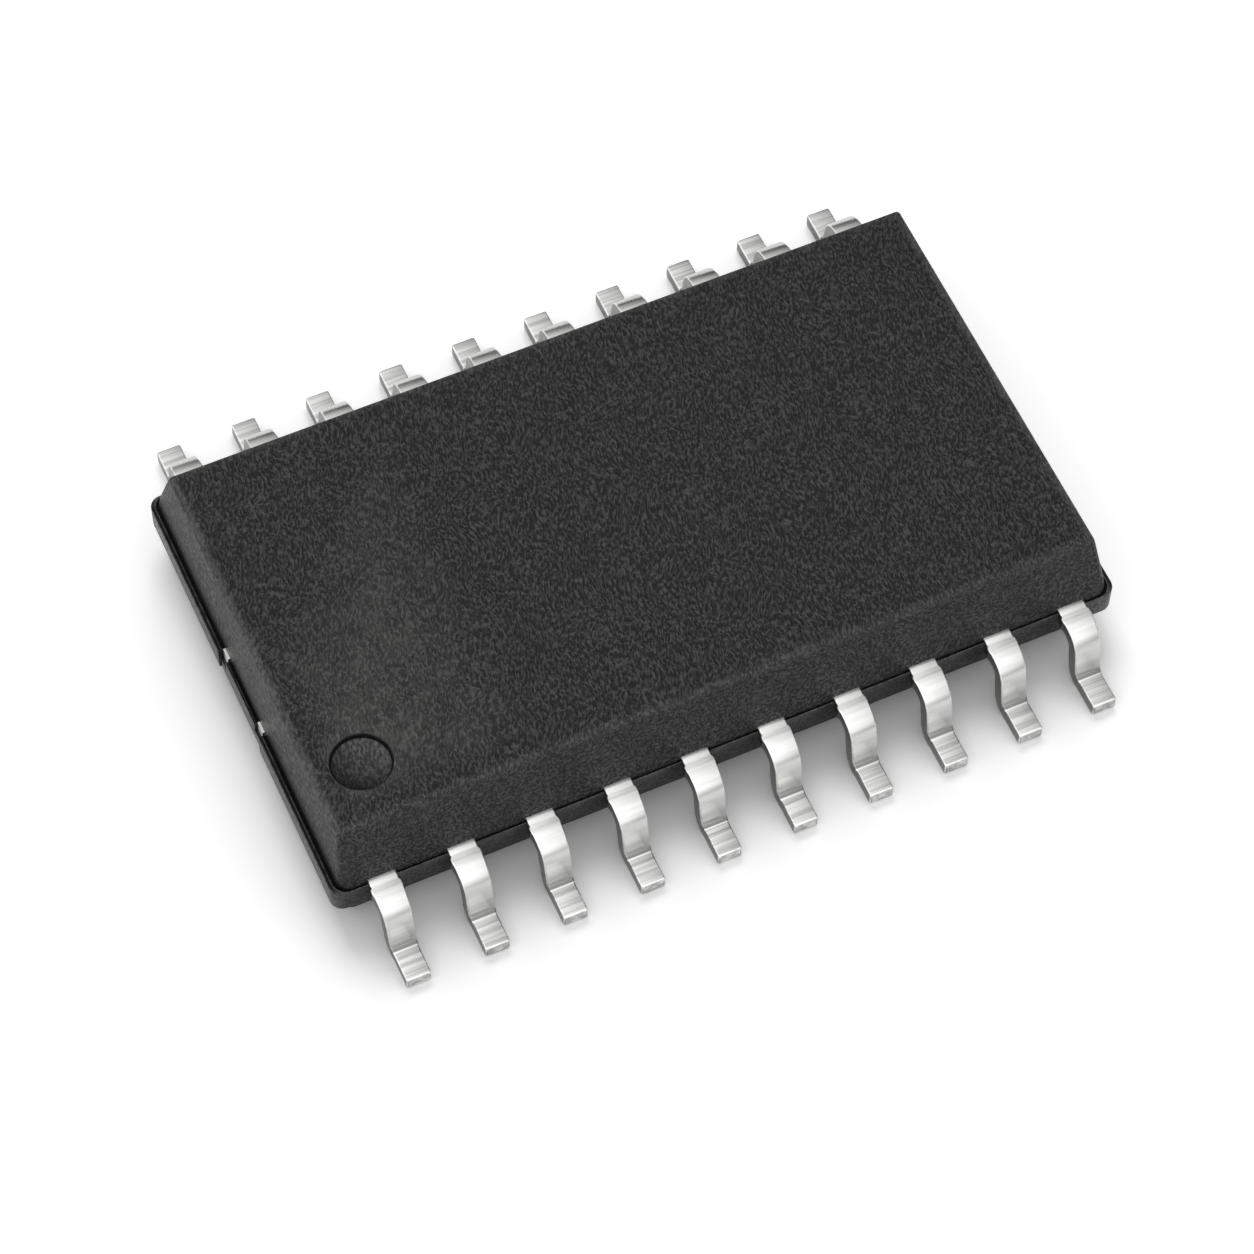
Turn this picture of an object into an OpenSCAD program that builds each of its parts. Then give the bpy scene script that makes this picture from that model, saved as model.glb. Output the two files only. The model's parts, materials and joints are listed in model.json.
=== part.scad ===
// Small-outline chip with two rows of gull-wing leads, built from the inside out:
// lead frame, die, bond wires, then the moulded body closed around them.
// Millimetres. The origin is the centre of the seating plane, +X runs along the body
// and +Z points up. Lead 1 is at the -X end of the -Y row, beside the dimple.

/* [Moulded body] */
// Length over the ledge
body_l = 13; // [12.6:0.1:14]
// Width over the ledge
body_w = 7.6; // [7.2:0.1:7.7]
// Thickness from the bottom face to the top face
body_h = 2.03; // [1.9:0.01:2.4]
// Gap between the bottom face and the board
standoff = 0.12; // [0.05:0.01:0.3]
// Draft of the two short ends, in degrees from vertical
end_draft = 9; // [3:1:15]
// Draft of the two long sides, in degrees from vertical
side_draft = 20; // [5:1:25]
// Flat across each slanted corner of the two mould halves
corner_flat = 0.24; // [0.1:0.02:0.5]
// Bevel around the top and bottom faces
face_bevel = 0.05; // [0.02:0.01:0.12]

/* [Parting-line ledge] */
// Height of the ledge's side
ledge_h = 0.46; // [0.35:0.01:0.6]
// How far the necks of the leads stand out above the ledge
neck_proud = 0.04; // [0.02:0.01:0.08]
// How far the ledge stands out at the short ends
ledge_end = 0.11; // [0.08:0.01:0.2]
// How far the ledge stands out at the long sides
ledge_side = 0.035; // [0.03:0.005:0.1]
// Corner radius of the ledge
ledge_corner_r = 0.2; // [0.1:0.02:0.4]
// Width of the groove at the foot of the upper half
groove_w = 0.04; // [0.02:0.01:0.06]
// Depth of that groove
groove_d = 0.04; // [0.02:0.01:0.1]
// How far the ledge between the tie bars is set back
ledge_setback = 0.03; // [0.01:0.01:0.05]

/* [Pin 1 dimple] */
// Diameter at the rim
dimple_d = 0.96; // [0.6:0.02:1.4]
// Depth of the straight wall under the rim
dimple_wall = 0.07; // [0.03:0.01:0.2]
// Depth of the bowl below that wall
dimple_bowl = 0.13; // [0.05:0.01:0.2]
// Distance from the end of the body to the dimple's centre
dimple_from_end = 1.07; // [0.9:0.01:2]
// Distance from the lead 1 side of the body to the dimple's centre
dimple_from_side = 1.4; // [1.2:0.01:2]

/* [Leads] */
// Leads in each row
leads_per_row = 10; // [4:1:10]
// Distance between neighbouring leads
pitch = 1.27; // [1.1:0.01:1.27]
// Distance between the toes of the two rows
lead_span = 10.2; // [10.1:0.05:10.6]
// Thickness of the lead frame
lead_t = 0.25; // [0.2:0.01:0.3]
// Height of the neck's top face above the board
neck_top = 1.12; // [1:0.01:1.3]
// Width of the neck where it leaves the body
neck_w = 0.455; // [0.35:0.005:0.5]
// Width over the stubs left where the dam bar was cut
stub_w = 0.5; // [0.45:0.01:0.6]
// Length of those stubs
stub_l = 0.1; // [0.05:0.01:0.15]
// Width at the shoulder bend
shoulder_w = 0.48; // [0.4:0.01:0.5]
// Width of the foot
foot_w = 0.4; // [0.31:0.01:0.45]
// Length of the flat top of the foot
foot_l = 0.48; // [0.4:0.01:0.6]
// Outer radius of the shoulder bend
shoulder_r = 0.44; // [0.35:0.01:0.5]
// Inner radius of the heel bend
heel_r = 0.12; // [0.08:0.01:0.2]
// Outward lean of the riser, in degrees from vertical
riser_lean = 10; // [3:1:15]
// Bevel on the corners of the toe
toe_bevel = 0.03; // [0.01:0.01:0.06]

/* [Lead frame inside the body] */
// Length of the die paddle
paddle_l = 7; // [5:0.1:8]
// Width of the die paddle
paddle_w = 3.7; // [3:0.1:4]
// Gap between the paddle and the finger tips
finger_gap = 0.25; // [0.2:0.01:0.4]
// Distance between neighbouring finger tips
finger_pitch = 0.95; // [0.8:0.01:1]
// Width of a finger at its tip
finger_w = 0.36; // [0.3:0.01:0.4]
// Length of the straight root behind the body's side
root_l = 0.45; // [0.4:0.01:0.6]
// Width of a tie bar
tie_w = 0.2; // [0.15:0.01:0.3]
// Clearance on each side of a tie bar in its notch
tie_clear = 0.02; // [0.01:0.01:0.04]
// Distance of each tie bar from the middle of the body
tie_y = 0.7; // [0.5:0.05:1.2]
// How far a cut tie bar stands out of the upper half's foot
tie_proud = 0.03; // [0.01:0.01:0.05]

/* [Die and bond wires] */
// Length of the die
die_l = 4.6; // [4.4:0.1:5]
// Width of the die
die_w = 2.6; // [2:0.1:2.8]
// Thickness of the die
die_t = 0.28; // [0.2:0.01:0.3]
// Thickness of the adhesive under the die
attach_t = 0.03; // [0.02:0.01:0.05]
// How far the adhesive's edge shows around the die
attach_fillet = 0.08; // [0.04:0.01:0.15]
// Distance between neighbouring bond pads
pad_pitch = 0.44; // [0.3:0.01:0.46]
// Distance of the bond pads from the die's edge
pad_inset = 0.15; // [0.1:0.01:0.25]
// Diameter of a bond wire
wire_d = 0.03; // [0.02:0.005:0.04]
// Diameter of the ball that bonds the wire to its pad
ball_d = 0.08; // [0.06:0.005:0.1]
// Height of that ball
ball_h = 0.03; // [0.02:0.005:0.04]
// Height that the wire climbs above the ball before it bends
wire_rise = 0.1; // [0.05:0.01:0.15]
// Radius of the wire's bend
wire_bend_r = 0.12; // [0.08:0.01:0.15]
// Distance of the wire's end from the finger's tip
stitch_inset = 0.12; // [0.1:0.01:0.2]

/* [Hidden] */
$fn = 64;
// Extra length by which a cutting shape passes the face it cuts.
over = 1;

// Heights.
frame_bottom = neck_top - lead_t;
body_bottom = standoff;
body_top = standoff + body_h;
ledge_top = neck_top - neck_proud;
ledge_bottom = ledge_top - ledge_h;
attach_top = neck_top + attach_t;
die_top = attach_top + die_t;

// Plan sizes of the two mould halves where they meet the ledge.
half_l = body_l / 2 - ledge_end;
half_w = body_w / 2 - ledge_side;

// The groove's outer edge: clear of the ledge's rim at the ends, half-way over it at the sides.
groove_end = ledge_end - groove_w;
groove_side = ledge_side / 2;

// Centre-line radii of the lead's bends, the riser's length and the places of the bends.
shoulder_mid_r = shoulder_r - lead_t / 2;
heel_mid_r = heel_r + lead_t / 2;
shoulder_z = neck_top - shoulder_r;
heel_z = lead_t + heel_r;
bend_run = (shoulder_mid_r + heel_mid_r) * cos(riser_lean);
bend_drop = (shoulder_mid_r + heel_mid_r) * sin(riser_lean);
riser_l = (shoulder_z - heel_z + bend_drop) / cos(riser_lean);
toe_u = lead_span / 2;
heel_u = toe_u - foot_l;
shoulder_u = heel_u - bend_run - riser_l * sin(riser_lean);

// Places along a lead, as distances from the middle of the body.
finger_tip_u = paddle_w / 2 + finger_gap;
root_u = body_w / 2 - root_l;
stub_end_u = shoulder_u;
stub_start_u = stub_end_u - stub_l;

// The bowl of the dimple is part of a sphere.
bowl_r = (dimple_d * dimple_d / 4 + dimple_bowl * dimple_bowl) / (2 * dimple_bowl);

function two_digits(i) = str(i < 10 ? "0" : "", i);
function lead_name(i) = str("lead_", two_digits(i));
function wire_name(i) = str("wire_", two_digits(i));
lead_count = 2 * leads_per_row;

// A lead's place in its row, counted from the middle of the body: half-integers that
// run upwards for the first row and back again for the second.
function row_step(i) = i <= leads_per_row
    ? i - (leads_per_row + 1) / 2
    : (3 * leads_per_row + 1) / 2 - i;
// -1 for the first row, +1 for the second.
function row_side(i) = i <= leads_per_row ? -1 : 1;

// ---- Lead frame ----

// The outline that is stamped for one lead, seen from above. U runs away from the body.
module lead_plan(step) {
    x = step * pitch;
    tip_x = step * finger_pitch;
    right = [
        [tip_x + finger_w / 2, finger_tip_u],
        [x + neck_w / 2, root_u],
        [x + neck_w / 2, stub_start_u],
        [x + stub_w / 2, stub_start_u],
        [x + stub_w / 2, stub_end_u],
        [x + shoulder_w / 2, stub_end_u],
        [x + foot_w / 2, heel_u],
        [x + foot_w / 2, toe_u - toe_bevel],
        [x + foot_w / 2 - toe_bevel, toe_u]
    ];
    left = [
        [x - foot_w / 2 + toe_bevel, toe_u],
        [x - foot_w / 2, toe_u - toe_bevel],
        [x - foot_w / 2, heel_u],
        [x - shoulder_w / 2, stub_end_u],
        [x - stub_w / 2, stub_end_u],
        [x - stub_w / 2, stub_start_u],
        [x - neck_w / 2, stub_start_u],
        [x - neck_w / 2, root_u],
        [tip_x - finger_w / 2, finger_tip_u]
    ];
    polygon(concat(right, left));
}

// A ring as thick as the lead.
module bend_ring(inner_r) {
    difference() {
        circle(r = inner_r + lead_t);
        circle(r = inner_r);
    }
}

// The riser between its two bends. It stands on end here, and the side shape leans it:
// the shoulder's centre is the origin, and the heel's is at the far side of the riser.
module upright_riser() {
    reach = lead_span;
    heel_at = [shoulder_mid_r + heel_mid_r, -riser_l];
    intersection() {
        bend_ring(shoulder_r - lead_t);
        square(reach);
    }
    translate([shoulder_r - lead_t, -riser_l])
        square([lead_t, riser_l]);
    intersection() {
        translate(heel_at)
            bend_ring(heel_r);
        translate([heel_at[0] - reach, heel_at[1] - reach])
            square(reach);
    }
}

// The lead's bent shape, seen from the side: U outwards, Z upwards.
module lead_side() {
    translate([finger_tip_u, frame_bottom])
        square([shoulder_u - finger_tip_u, lead_t]);
    intersection() {
        translate([shoulder_u, shoulder_z])
            rotate(riser_lean)
                upright_riser();
        translate([shoulder_u, 0])
            square([heel_u - shoulder_u, neck_top]);
    }
    translate([heel_u, 0])
        square([foot_l, lead_t]);
}

// One whole lead: the stamped outline, bent to the side shape.
module lead_solid(i) {
    width = body_l;
    mirror([0, row_side(i) < 0 ? 1 : 0, 0])
        intersection() {
            linear_extrude(height = neck_top)
                lead_plan(row_step(i));
            translate([-width / 2, 0, 0])
                rotate([90, 0, 90])
                    linear_extrude(height = width)
                        lead_side();
        }
}

// The room that one lead takes in the body: its flat part, out to where the bend starts.
module lead_pocket(i) {
    mirror([0, row_side(i) < 0 ? 1 : 0, 0])
        intersection() {
            translate([0, 0, frame_bottom])
                linear_extrude(height = lead_t)
                    lead_plan(row_step(i));
            translate([-body_l, 0, 0])
                cube([2 * body_l, shoulder_u, neck_top + over]);
        }
}

module lead(i) {
    color("silver") lead_solid(i);
}

// The paddle that carries the die, with the tie bars that held it in its frame.
module die_paddle() {
    tie_l = 2 * (half_l + tie_proud);
    color("silver")
        translate([0, 0, frame_bottom])
            linear_extrude(height = lead_t) {
                square([paddle_l, paddle_w], center = true);
                for (side = [-1, 1])
                    translate([0, side * tie_y])
                        square([tie_l, tie_w], center = true);
            }
}

// ---- Die and bond wires ----

module die_attach() {
    color("lightgray")
        translate([0, 0, neck_top])
            linear_extrude(height = attach_t)
                square([die_l + 2 * attach_fillet, die_w + 2 * attach_fillet], center = true);
}

module silicon_die() {
    color("slategray")
        translate([0, 0, attach_top])
            linear_extrude(height = die_t)
                square([die_l, die_w], center = true);
}

// One loop of wire in its own upright plane: from the ball at the origin, up, over the
// bend and down in a straight line to the finger, a distance of length away.
module wire_loop(length) {
    bend_z = die_top + ball_h + wire_rise;
    end_z = neck_top + wire_d / 2;
    away = [length - wire_bend_r, end_z - bend_z];
    distance = norm(away);
    leave = atan2(away[1], away[0]) + acos(wire_bend_r / distance);
    straight_l = sqrt(distance * distance - wire_bend_r * wire_bend_r);
    translate([0, 0, die_top])
        cylinder(d = ball_d, h = ball_h);
    translate([0, 0, die_top + ball_h])
        cylinder(d = wire_d, h = wire_rise);
    translate([wire_bend_r, 0, bend_z])
        rotate([90, 0, 0])
            rotate_extrude(angle = 180 - leave, start = leave)
                translate([wire_bend_r, 0])
                    circle(d = wire_d);
    translate([wire_bend_r, 0, bend_z])
        rotate([0, 90 - leave, 0])
            translate([0, 0, wire_bend_r])
                rotate([0, 90, 0])
                    cylinder(d = wire_d, h = straight_l);
    translate([length, 0, neck_top])
        cylinder(d = ball_d, h = wire_d);
}

// Wire i, from its pad on the die to the finger of lead i.
module wire_solid(i) {
    pad = [row_step(i) * pad_pitch, row_side(i) * (die_w / 2 - pad_inset)];
    inset = stitch_inset / (root_u - finger_tip_u);
    land_x = row_step(i) * (finger_pitch + inset * (pitch - finger_pitch));
    land = [land_x, row_side(i) * (finger_tip_u + stitch_inset)];
    run = land - pad;
    translate(pad)
        rotate([0, 0, atan2(run[1], run[0])])
            wire_loop(norm(run));
}

module wire(i) {
    color("gold") wire_solid(i);
}

// ---- Moulded body ----

// A ridge along Y, as wide as 2 * foot at the ledge, that narrows with the draft
// towards its face and ends in a bevel.
module drafted_ridge(foot, draft, foot_z, face_z) {
    rise = abs(face_z - foot_z);
    up = sign(face_z - foot_z);
    bevel_z = face_z - up * face_bevel;
    bevel_half = foot - (rise - face_bevel) * tan(draft);
    face_half = foot - rise * tan(draft) - face_bevel;
    rotate([90, 0, 0])
        linear_extrude(height = 2 * body_l, center = true)
            polygon([
                [-foot, foot_z],
                [foot, foot_z],
                [bevel_half, bevel_z],
                [face_half, face_z],
                [-face_half, face_z],
                [-bevel_half, bevel_z]
            ]);
}

// One mould half: ridges along both plan directions and both diagonals, all crossed.
module mould_half(foot_z, face_z) {
    diagonal = (half_l + half_w) / sqrt(2) - corner_flat / 2;
    diagonal_draft = atan((tan(end_draft) + tan(side_draft)) / sqrt(2));
    intersection() {
        drafted_ridge(half_l, end_draft, foot_z, face_z);
        rotate([0, 0, 90])
            drafted_ridge(half_w, side_draft, foot_z, face_z);
        rotate([0, 0, 45])
            drafted_ridge(diagonal, diagonal_draft, foot_z, face_z);
        rotate([0, 0, -45])
            drafted_ridge(diagonal, diagonal_draft, foot_z, face_z);
    }
}

// The ledge's outline: a rectangle with round corners.
module ledge_plan() {
    corner_x = body_l / 2 - ledge_corner_r;
    corner_y = body_w / 2 - ledge_corner_r;
    square([body_l, 2 * corner_y], center = true);
    square([2 * corner_x, body_w], center = true);
    for (x = [-corner_x, corner_x], y = [-corner_y, corner_y])
        translate([x, y])
            circle(r = ledge_corner_r);
}

module ledge() {
    translate([0, 0, ledge_bottom])
        linear_extrude(height = ledge_h)
            ledge_plan();
}

// The groove that runs around the foot of the upper half.
module foot_groove() {
    translate([0, 0, ledge_top - groove_d])
        linear_extrude(height = groove_d + groove_w)
            difference() {
                square([body_l - 2 * groove_end, body_w - 2 * groove_side], center = true);
                square([
                    body_l - 2 * (groove_end + groove_w),
                    body_w - 2 * (groove_side + groove_w)
                ], center = true);
            }
}

// At each short end, the notches that the tie bars were cut in, and the setback between them.
module end_cuts() {
    notch_w = tie_w + 2 * tie_clear;
    for (end = [-1, 1]) {
        for (side = [-1, 1])
            translate([end * (half_l + over / 2), side * tie_y, frame_bottom + over / 2])
                cube([over, notch_w, over], center = true);
        translate([end * (body_l / 2 - ledge_setback + over / 2), 0, ledge_bottom])
            cube([over, 2 * tie_y + notch_w, over * 2], center = true);
    }
}

module dimple() {
    translate([
        -body_l / 2 + dimple_from_end,
        -body_w / 2 + dimple_from_side,
        body_top - dimple_wall
    ]) {
        cylinder(d = dimple_d, h = dimple_wall + over);
        intersection() {
            translate([0, 0, bowl_r - dimple_bowl])
                sphere(r = bowl_r);
            translate([0, 0, -dimple_bowl])
                cylinder(d = dimple_d, h = dimple_bowl);
        }
    }
}

module moulded_body() {
    color("dimgray")
        difference() {
            union() {
                difference() {
                    ledge();
                    end_cuts();
                }
                mould_half(ledge_top, body_top);
                mould_half(ledge_bottom, body_bottom);
            }
            foot_groove();
            dimple();
            die_paddle();
            die_attach();
            silicon_die();
            for (i = [1:lead_count]) {
                lead_pocket(i);
                wire_solid(i);
            }
        }
}

moulded_body();
die_paddle();
die_attach();
silicon_die();
for (i = [1:lead_count])
    lead(i);
for (i = [1:lead_count])
    wire(i);
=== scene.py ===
"""Looks of a small-outline chip: a moulded body with a fine leathery grain, and tin-plated gull-wing leads.

Sizes are in millimetres while a shape is worked out. MM turns them into metres when its mesh is made.
The long axis of the body is X, the leads leave it along Y, and Z points up from the board.
"""

import json
import math

import bmesh
import bpy
from mathutils import Matrix, Vector


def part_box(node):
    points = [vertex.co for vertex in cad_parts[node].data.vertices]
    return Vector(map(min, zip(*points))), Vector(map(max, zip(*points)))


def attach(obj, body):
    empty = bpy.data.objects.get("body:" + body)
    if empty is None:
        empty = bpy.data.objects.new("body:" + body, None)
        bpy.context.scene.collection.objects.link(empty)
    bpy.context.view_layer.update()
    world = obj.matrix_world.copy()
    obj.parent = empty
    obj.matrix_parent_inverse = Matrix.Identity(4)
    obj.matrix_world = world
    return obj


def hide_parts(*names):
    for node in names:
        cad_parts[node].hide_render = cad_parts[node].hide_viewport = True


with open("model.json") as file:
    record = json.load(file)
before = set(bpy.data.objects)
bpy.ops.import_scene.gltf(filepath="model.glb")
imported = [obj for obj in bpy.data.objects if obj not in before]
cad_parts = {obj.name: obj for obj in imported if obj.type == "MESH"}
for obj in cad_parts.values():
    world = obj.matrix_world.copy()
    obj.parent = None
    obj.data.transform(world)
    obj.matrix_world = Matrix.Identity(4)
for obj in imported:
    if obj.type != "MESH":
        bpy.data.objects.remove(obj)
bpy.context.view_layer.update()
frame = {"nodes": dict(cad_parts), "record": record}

MM = 0.001

# ---- Sizes of the moulded body, in mm ----

body_low, body_high = (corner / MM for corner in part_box("moulded_body"))
LEDGE_HALF_L = body_high.x
LEDGE_HALF_W = body_high.y
BODY_BOTTOM = body_low.z
BODY_TOP = body_high.z

END_DRAFT = math.radians(9)
SIDE_DRAFT = math.radians(20)
CREASE_R = 0.07
BOTTOM_EDGE_R = 0.05
HALF_CORNER_R = 0.22
FACE_CORNER_R = 0.06
CORNER_FLARE = 3

LEDGE_TOP = 1.08
LEDGE_BOTTOM = 0.62
LEDGE_END = 0.11
LEDGE_SIDE = 0.035
LEDGE_CORNER_R = 0.2
LEDGE_EDGE_R = 0.012
GROOVE_D = 0.04
GROOVE_W = 0.04

NOTCH_FLOOR = 0.87
NOTCH_INNER = 0.58
NOTCH_OUTER = 0.82
SETBACK = 0.03

DIMPLE_AT = Vector((-5.43, -2.4))
DIMPLE_R = 0.48
DIMPLE_WALL = 0.07
DIMPLE_BOWL = 0.13
DIMPLE_RIM_R = 0.012
DIMPLE_SMOOTH = 0.9

# ---- Sizes of a lead, in mm ----

LEAD_T = 0.25
NECK_TOP = 1.12
SHOULDER_R = 0.44
HEEL_R = 0.12
RISER_LEAN = math.radians(10)
TOE_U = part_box("lead_01")[0].y / -MM
FOOT_L = 0.48
FINGER_TIP_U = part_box("lead_01")[1].y / -MM
FINGER_W = 0.36
FINGER_PITCH = 0.95
LEAD_PITCH = 1.27
ROOT_U = 3.35
NECK_W = 0.455
STUB_W = 0.5
STUB_L = 0.1
SHOULDER_W = 0.48
FOOT_W = 0.4
LEAD_EDGE_R = 0.028
TOE_EDGE_R = 0.03
CROWN_H = 0.017
CROWN_FROM_U = 3.765
CROWN_TO_U = 3.95

# How much painted shade darkens the plate, from 0 to 1, on a lead's sides, on its toe and in the bend above
# its foot.
SIDE_PAINTED_SHADE = 0.8
TOE_PAINTED_SHADE = 0.7
HEEL_PAINTED_SHADE = 0.85
HEEL_PAINTED_SHADE_START = 0.3
# The first line across the foot, the darkest: how dark, how far past the heel and half its width, in mm.
FIRST_LINE_DARKNESS = 0.35
FIRST_LINE_AT = 0.075
FIRST_LINE_HALF_W = 0.035
# Steps along a lead, and the steps of its heel where its painted shade is darkest and where it is bright
# again.
NECK_STEPS = 26
SHOULDER_STEPS = 14
RISER_STEPS = 5
HEEL_STEPS = 12
DARKEST_SHADED_HEEL_STEP = 7
BRIGHT_HEEL_STEP = 10
FOOT_STEPS = 14
TOE_STEPS = 4

# ---- Small helpers for shapes ----


def rounded_line(corners, steps=4):
    """An outline through (out, height, radius) corners, each with a radius turned into an arc.

    Returns (point, corner's number) pairs."""
    line = []
    for number, (out, height, radius) in enumerate(corners):
        here = Vector((out, height))
        if radius == 0:
            line.append((here, number))
            continue
        before = (Vector(corners[number - 1][:2]) - here).normalized()
        after = (Vector(corners[number + 1][:2]) - here).normalized()
        half = before.angle(after) / 2
        reach = radius / math.tan(half)
        centre = here + (before + after).normalized() * (radius / math.sin(half))
        start = here + before * reach - centre
        end = here + after * reach - centre
        for step in range(steps + 1):
            spoke = start.lerp(end, step / steps).normalized() * radius
            line.append((centre + spoke, number))
    return line


def spread(low, high, count):
    """count + 1 evenly spaced numbers from low to high."""
    return [low + (high - low) * k / count for k in range(count + 1)]


def walled(bm, rings):
    """Quads between neighbouring rings of vertices. Returns them, one list for each pair of rings."""
    walls = []
    for lower, upper in zip(rings, rings[1:]):
        wall = []
        for k in range(len(lower)):
            after = (k + 1) % len(lower)
            wall.append(bm.faces.new((lower[k], lower[after], upper[after], upper[k])))
        walls.append(wall)
    return walls


def finished_piece(name, bm, material_list, sharp_angle):
    """Turns a bmesh in millimetres into a piece in metres, smooth but for its sharp edges."""
    bmesh.ops.remove_doubles(bm, verts=bm.verts, dist=1e-4)
    bmesh.ops.recalc_face_normals(bm, faces=bm.faces)
    bmesh.ops.scale(bm, vec=(MM, MM, MM), verts=bm.verts)
    for face in bm.faces:
        face.smooth = True
    for edge in bm.edges:
        edge.smooth = len(edge.link_faces) < 2 or edge.calc_face_angle(0) < sharp_angle
    mesh = bpy.data.meshes.new(name)
    bm.to_mesh(mesh)
    bm.free()
    piece = bpy.data.objects.new(name, mesh)
    bpy.context.scene.collection.objects.link(piece)
    for material in material_list:
        mesh.materials.append(material)
    shading = piece.modifiers.new("even_shading", "WEIGHTED_NORMAL")
    shading.keep_sharp = True
    return piece


# ---- Shader node groups ----


def new_group(name, inputs, outputs):
    """An empty shader node group, with (name, type, default) inputs and (name, type) outputs."""
    group = bpy.data.node_groups.new(name, "ShaderNodeTree")
    for label, kind, value in inputs:
        socket = group.interface.new_socket(label, in_out="INPUT", socket_type=kind)
        socket.default_value = value
    for label, kind in outputs:
        group.interface.new_socket(label, in_out="OUTPUT", socket_type=kind)
    entry = group.nodes.new("NodeGroupInput")
    exit_node = group.nodes.new("NodeGroupOutput")
    return group, entry, exit_node


def put(tree, kind, settings=None, **values):
    """A new node, with settings on the node itself and values on its inputs. A socket value is linked."""
    node = tree.nodes.new(kind)
    for key, value in (settings or {}).items():
        setattr(node, key, value)
    for label, value in values.items():
        feed(tree, node, label.replace("_", " "), value)
    return node


def feed(tree, node, label, value):
    """Sets or links one input of a node, found by its name or its number."""
    key = int(label[1:]) if label[0] == "#" else label
    socket = node.inputs[key]
    if isinstance(value, bpy.types.NodeSocket):
        tree.links.new(value, socket)
    else:
        socket.default_value = value


def calculate(tree, operation, first, second=0.0, clamp=False):
    """The result of a Math node."""
    node = tree.nodes.new("ShaderNodeMath")
    node.operation = operation
    node.use_clamp = clamp
    feed(tree, node, "#0", first)
    feed(tree, node, "#1", second)
    return node.outputs[0]


def remapped(tree, value, from_low, from_high, to_low=0.0, to_high=1.0, smooth=False):
    """The result of a clamped Map Range node."""
    node = tree.nodes.new("ShaderNodeMapRange")
    node.interpolation_type = "SMOOTHSTEP" if smooth else "LINEAR"
    node.clamp = True
    for label, number in (
        ("Value", value),
        ("From Min", from_low),
        ("From Max", from_high),
        ("To Min", to_low),
        ("To Max", to_high),
    ):
        feed(tree, node, label, number)
    return node.outputs["Result"]


def mixed_colour(tree, factor, first, second, blend="MIX"):
    """The result of a colour Mix node."""
    node = tree.nodes.new("ShaderNodeMix")
    node.data_type = "RGBA"
    node.blend_type = blend
    for key, value in ((0, factor), (6, first), (7, second)):
        if isinstance(value, bpy.types.NodeSocket):
            tree.links.new(value, node.inputs[key])
        else:
            node.inputs[key].default_value = value
    return node.outputs[2]


def place_in_mm(tree):
    """The point on the object, in mm."""
    place = put(tree, "ShaderNodeTexCoord").outputs["Object"]
    scale = put(tree, "ShaderNodeVectorMath", {"operation": "SCALE"}, Vector=place, Scale=1 / MM)
    return scale.outputs[0]


def noise(tree, place, scale, detail=2.0, roughness=0.5, distortion=0.0):
    """A Noise node."""
    return put(
        tree,
        "ShaderNodeTexNoise",
        Vector=place,
        Scale=scale,
        Detail=detail,
        Roughness=roughness,
        Distortion=distortion,
    )


SWIRLS_PER_MM = 0.9
FINE_GRAINS_PER_MM = 42.0
STROKE_TURN = math.radians(22)
BLOTCHES_PER_MM = 5.0


def leathery_grain_group():
    """The fine grain that a spark-eroded mould leaves: short strokes that bend this way and that."""
    group, entry, exit_node = new_group(
        "leathery_grain",
        [
            ("Strokes per mm", "NodeSocketFloat", 26.0),
            ("Stretch", "NodeSocketFloat", 0.45),
            ("Swirl mm", "NodeSocketFloat", 0.4),
        ],
        [("Height", "NodeSocketFloat"), ("Tone", "NodeSocketFloat")],
    )
    place = place_in_mm(group)
    swirl = noise(group, place, SWIRLS_PER_MM, detail=1.0).outputs["Color"]
    centred = put(group, "ShaderNodeVectorMath", {"operation": "SUBTRACT"}).outputs[0]
    group.links.new(swirl, centred.node.inputs[0])
    centred.node.inputs[1].default_value = (0.5, 0.5, 0.5)
    pushed = put(group, "ShaderNodeVectorMath", {"operation": "SCALE"}).outputs[0]
    group.links.new(centred, pushed.node.inputs[0])
    group.links.new(entry.outputs["Swirl mm"], pushed.node.inputs["Scale"])
    bent = put(group, "ShaderNodeVectorMath", {"operation": "ADD"}).outputs[0]
    group.links.new(place, bent.node.inputs[0])
    group.links.new(pushed, bent.node.inputs[1])
    turned = put(group, "ShaderNodeVectorRotate", {"rotation_type": "Z_AXIS"}, Vector=bent)
    turned.inputs["Angle"].default_value = STROKE_TURN
    stretch = put(group, "ShaderNodeCombineXYZ", X=1.0, Y=entry.outputs["Stretch"], Z=1.0)
    drawn = put(group, "ShaderNodeVectorMath", {"operation": "MULTIPLY"}).outputs[0]
    group.links.new(turned.outputs[0], drawn.node.inputs[0])
    group.links.new(stretch.outputs[0], drawn.node.inputs[1])
    strokes = noise(group, drawn, entry.outputs["Strokes per mm"], detail=1.0, distortion=0.35)
    fine = noise(group, place, FINE_GRAINS_PER_MM, detail=1.0)
    height = calculate(group, "MULTIPLY_ADD", fine.outputs["Fac"], 0.25)
    feed(group, height.node, "#2", remapped(group, strokes.outputs["Fac"], 0.3, 0.7))
    group.links.new(height, exit_node.inputs["Height"])
    tone = remapped(group, strokes.outputs["Fac"], 0.35, 0.72, smooth=True)
    group.links.new(tone, exit_node.inputs["Tone"])
    return group


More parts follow.
